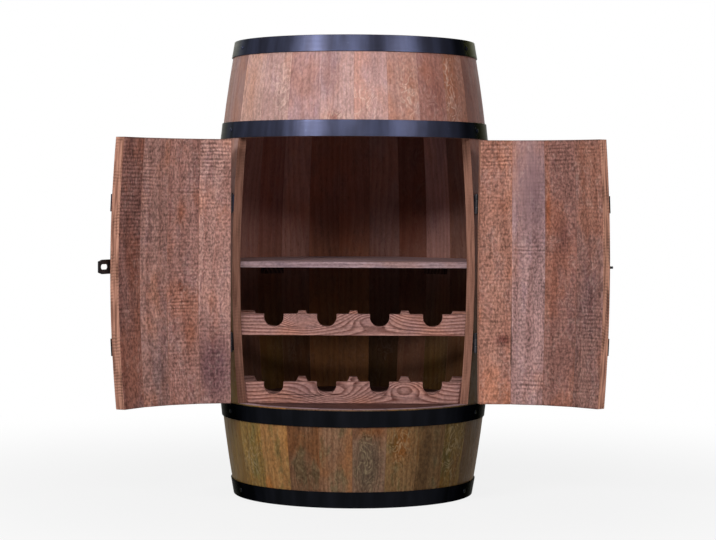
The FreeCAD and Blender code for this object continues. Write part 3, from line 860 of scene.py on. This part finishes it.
def fastenerHeads(name, crossed):
    # puts a domed head on every point, turned to the point's facing
    plan = Group(name, {"Places": "Geometry", "Head Radius": "Float", "Head Height": "Float",
                        "Sunk": "Float", "Sides": "Int", "Seed": "Int", "Finish": "Material"})
    radius, height = plan.asked("Head Radius"), plan.asked("Head Height")
    ball = plan.add("MeshUVSphere", {"Segments": plan.asked("Sides"), "Rings": 10, "Radius": radius})
    squash = plan.vector(1.0, 1.0, height / radius)
    dome = plan.add("Transform", {"Geometry": ball, "Scale": squash})
    x, y, z = plan.parts(plan.add("InputPosition"))
    flat = plan.vector(x, y, z.reckon("MAXIMUM", 0.0) - plan.asked("Sunk"))
    head = plan.add("SetPosition", {"Geometry": dome, "Position": flat})
    if crossed:
        size = plan.vector(radius * cross["length"], radius * cross["width"], height)
        for turn in (0.0, math.pi / 2):
            bar = plan.add("MeshCube", {"Size": size})
            cutter = plan.add("Transform", {
                "Geometry": bar, "Translation": plan.vector(0.0, 0.0, height), "Rotation": (0.0, 0.0, turn)})
            head = plan.add("MeshBoolean", {0: head, 1: cutter}, operation="DIFFERENCE", solver="EXACT")
    way = plan.add("InputNamedAttribute", {"Name": "facing"}, data_type="FLOAT_VECTOR")
    aim = plan.add("FunctionNodeAlignRotationToVector", {"Vector": way}, axis="Z")
    lot = plan.add("FunctionNodeRandomValue", {2: 0.0, 3: math.pi, "Seed": plan.asked("Seed")}, out=1,
                   data_type="FLOAT")
    twist = plan.add("FunctionNodeAxisAngleToRotation", {"Axis": (0.0, 0.0, 1.0), "Angle": lot})
    stance = plan.add("FunctionNodeRotateRotation", {"Rotation": aim, "Rotate By": twist},
                      rotation_space="LOCAL")
    heads = {"Points": plan.asked("Places"), "Instance": head, "Rotation": stance}
    heads = plan.add("RealizeInstances", {"Geometry": plan.add("InstanceOnPoints", heads)})
    plan.yields("Heads", plan.add("SetMaterial", {"Geometry": heads, "Material": plan.asked("Finish")}))
    return plan


def plainMesh(piece):
    # turns the result of the piece's modifiers into its own mesh
    graph = bpy.context.evaluated_depsgraph_get()
    mesh = bpy.data.meshes.new_from_object(piece.evaluated_get(graph))
    mesh.name = piece.name
    piece.modifiers.clear()
    piece.data = mesh


def fasteners(name, body, places, group, slot, values):
    piece = pointsMesh(name, places)
    addGroup(piece, "heads", group, values)
    plainMesh(piece)
    piece.data.shade_smooth()
    piece.data.set_sharp_from_angle(angle=math.radians(smoothTo))
    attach(piece, body)


fixings = {
    "sideRivet": 64.8,  # degrees from the front to the rivet on each side of a hoop
    "lapWidth": 0.046,  # of the riveted lap at the back of each whole hoop
    "lapThickness": 0.002,
    "lapSetback": 0.0012,  # from the hoop's edges
    "lapSteps": 8,
    "lapEase": 0.0005,
    "sunk": 0.0001,  # of what is laid or driven on, into what it is on
    "lapRivet": 0.012,  # from the middle of the lap
    "bandRivets": (6.0, 50.0), # degrees from the front on each door's bands
    "bilgeRivets": (67.0, 74.0),
    "leafScrew": 0.017,  # from the hinge pin
    "leafScrewRise": 0.009,
    "haspHeight": 0.411,
    "haspBase": -10.807,  # degrees from the front, with the doors closed
    "haspScrewRise": 0.007,
    "staple": 2.889,  # the same
    "stapleScrewRise": 0.016,
}
wholeHoops = ("top_end_hoop", "upper_quarter_hoop", "lower_quarter_hoop", "bottom_end_hoop")
bilgeHeights = {"upper_bilge_hoop": 0.517, "lower_bilge_hoop": 0.277}
driven = {"Sunk": fixings["sunk"], "Sides": 20}
rivets = (fastenerHeads("domed rivets", False), "hoop_steel", {
    **driven, "Head Radius": 0.004, "Head Height": 0.0016, "Seed": 1, "Finish": bandSteel})
screws = (fastenerHeads("cross head screws", True), "hardware_steel", {
    **driven, "Head Radius": 0.0034, "Head Height": 0.0014, "Seed": 5, "Finish": screwSteel})


def middleOf(name):
    low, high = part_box(name)
    return (low.z + high.z) / 2


def hoopLap(name):
    # the second thickness of the strip where a hoop's ends are riveted together, at the back
    low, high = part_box(name)
    half = math.degrees(fixings["lapWidth"] / 2 / barrel["bilgeRadius"])
    heights = (low.z + fixings["lapSetback"], high.z - fixings["lapSetback"])
    sunk, thick = fixings["sunk"], fixings["lapThickness"]
    shape = bmesh.new()
    sections = []
    for count in range(fixings["lapSteps"] + 1):
        turn = 180 - half + 2 * half * count / fixings["lapSteps"]
        (foot, footOut), (top, topOut) = (onFace(nodes[name], turn, height) for height in heights)
        corners = (foot - footOut * sunk, foot + footOut * thick, top + topOut * thick, top - topOut * sunk)
        sections.append([shape.verts.new(corner) for corner in corners])
    for first, second in zip(sections, sections[1:]):
        for corner in range(4):
            shape.faces.new((first[corner - 1], second[corner - 1], second[corner], first[corner]))
    shape.faces.new(sections[0])
    shape.faces.new(sections[-1])
    bmesh.ops.recalc_face_normals(shape, faces=shape.faces)
    mesh = bpy.data.meshes.new(name + "_lap")
    shape.to_mesh(mesh)
    shape.free()
    mesh.materials.append(shadedHoopSteel if name.startswith(("lower", "bottom")) else litHoopSteel)
    piece = newPiece(name + "_lap", mesh)
    bevelEdges(piece, fixings["lapEase"])
    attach(piece, "cabinet")
    return piece


cabinetRivets = []
for name in wholeHoops:
    for side in (-1, 1):
        cabinetRivets.append(onFace(nodes[name], side * fixings["sideRivet"], middleOf(name)))
    lap = hoopLap(name)
    bpy.context.view_layer.update()
    turn = math.degrees(fixings["lapRivet"] / barrel["bilgeRadius"])
    for side in (-1, 1):
        cabinetRivets.append(onFace(lap, 180 + side * turn, middleOf(name)))
for name, height in bilgeHeights.items():
    for side in (-1, 1):
        for turn in fixings["bilgeRivets"]:
            cabinetRivets.append(onFace(nodes[name], side * turn, height))
fasteners("hoop_rivets", "cabinet", cabinetRivets, *rivets)
for side, door in ((-1, "left_door"), (1, "right_door")):
    places = [onFace(nodes[door + "_bands"], side * turn, height, door)
              for height in bilgeHeights.values() for turn in fixings["bandRivets"]]
    fasteners(door + "_band_rivets", door, places, *rivets)

leftPin = doors["left_door"][0]
pinAngle = math.degrees(math.atan2(-leftPin.x, -leftPin.y))
leafTurn = math.degrees(fixings["leafScrew"] / leftPin.xy.length)
rises = [height + step * fixings["leafScrewRise"] for height in bilgeHeights.values() for step in (-1, 1)]
leafScrews = [onFace(nodes["barrel_hinge_leaves"], side * (pinAngle + leafTurn), height)
              for side in (-1, 1) for height in rises]
fasteners("barrel_leaf_screws", "cabinet", leafScrews, *screws)
hasps = {
    # what each door carries of the hasp, the azimuth of its screws, and how far they are from its middle
    "left_door": ("hasp_base", fixings["haspBase"], fixings["haspScrewRise"]),
    "right_door": ("hasp_staple", fixings["staple"], fixings["stapleScrewRise"]),
}
for side, (door, (hasp, turn, rise)) in zip((-1, 1), hasps.items()):
    leaves = nodes[door + "_hinge_leaves"]
    places = [onFace(leaves, side * (pinAngle - leafTurn), height, door) for height in rises]
    places += [onFace(nodes[hasp], turn, fixings["haspHeight"] + step * rise, door) for step in (-1, 1)]
    fasteners(door + "_screws", door, places, *screws)
print("rivets, laps and screws placed")

studio = {
    "floorColour": shade(190, 190, 190),
    "floorSize": 30.0,
    "nearWhite": 0.84,  # how white the camera sees the floor by the cabinet, over its own shading
    "whiteFrom": 0.35,  # metres from the cabinet's axis at which it starts to turn all white
    "whiteAt": 1.5,
    "fill": 0.16,  # of the world on the object
    "white": (1.0, 1.0, 1.0, 1.0),
}
lamps = {
    # where it stands, size, power in watts
    "left_box": {"place": (-1.8, -2.5, 1.75), "size": (1.1, 0.7), "power": 57},
    "middle_box": {"place": (-0.1, -3.2, 1.85), "size": (1.3, 0.45), "power": 21},
    "right_box": {"place": (2.15, -2.25, 1.75), "size": (1.1, 0.7), "power": 26},
    "back_left_box": {"place": (-1.6, 2.6, 1.8), "size": (1.4, 1.2), "power": 18},
    "back_right_box": {"place": (1.7, 2.6, 1.8), "size": (1.4, 1.2), "power": 14},
}


def whiteToCamera(plan):
    # 1 for rays from the camera and for those that come back off metal or through glass
    rays = [plan.add("LightPath", out=ray)
            for ray in ("Is Camera Ray", "Is Glossy Ray", "Is Transmission Ray")]
    return rays[0].reckon("MAXIMUM", rays[1]).reckon("MAXIMUM", rays[2])


def makeFloor():
    half = studio["floorSize"] / 2
    mesh = bpy.data.meshes.new("studio_floor")
    corners = [(-half, -half, 0), (half, -half, 0), (half, half, 0), (-half, half, 0)]
    mesh.from_pydata(corners, [], [(0, 1, 2, 3)])
    floor = newPiece("studio_floor", mesh)
    material = bpy.data.materials.new("studio floor")
    material.use_nodes = True
    plan = Plan(material.node_tree)
    x, y, z = plan.parts(plan.add("TexCoord", out="Object"))
    away = (x * x + y * y) ** 0.5
    white = plan.step(away, studio["whiteFrom"], studio["whiteAt"], studio["nearWhite"], 1.0)
    matte = plan.add("BsdfDiffuse", {"Color": studio["floorColour"]})
    glow = plan.add("Emission", {"Color": studio["white"]})
    skin = plan.add("MixShader", [whiteToCamera(plan) * white, matte, glow])
    plan.add("OutputMaterial", {"Surface": skin})
    mesh.materials.append(material)


def makeWorld():
    world = bpy.data.worlds.new("studio")
    bpy.context.scene.world = world
    world.use_nodes = True
    plan = Plan(world.node_tree)
    level = studio["fill"] + whiteToCamera(plan) * (1.0 - studio["fill"])
    sky = plan.add("Background", {"Color": studio["white"], "Strength": level})
    plan.add("OutputWorld", {"Surface": sky})


def makeLamps():
    aim = Vector((0.0, 0.0, barrel["middle"]))
    for name, lamp in lamps.items():
        light = bpy.data.lights.new(name, "AREA")
        light.shape = "RECTANGLE"
        light.size, light.size_y = lamp["size"]
        light.energy = lamp["power"]
        rig = newPiece(name, light)
        rig.location = lamp["place"]
        rig.rotation_euler = (aim - rig.location).to_track_quat("-Z", "Y").to_euler()


view = {
    "place": (0.0140, -3.7656, 0.5233),
    "down": 1.908,  # degrees
    "yaw": 0.097,
    "roll": 0.241,
    "lens": 105.82,  # millimetres, as the width of the sensor is
    "sensor": 36.0,
    "farthest": 40.0,
}


def makeCamera():
    turn, tip, roll = (math.radians(view[key]) for key in ("yaw", "down", "roll"))
    facing = Matrix.Rotation(roll, 3, "Y") @ Matrix.Rotation(tip, 3, "X") @ Matrix.Rotation(-turn, 3, "Z")
    lens = bpy.data.cameras.new("camera")
    lens.lens = view["lens"]
    lens.sensor_width = view["sensor"]
    lens.clip_end = view["farthest"]
    camera = newPiece("camera", lens)
    right, ahead, above = facing
    stance = Matrix((right, above, -ahead)).transposed().to_4x4()
    camera.matrix_world = Matrix.Translation(view["place"]) @ stance
    bpy.context.scene.camera = camera


makeFloor()
makeWorld()
makeLamps()
makeCamera()
bpy.context.scene.view_settings.view_transform = "Standard"
print("floor, light and camera ready")
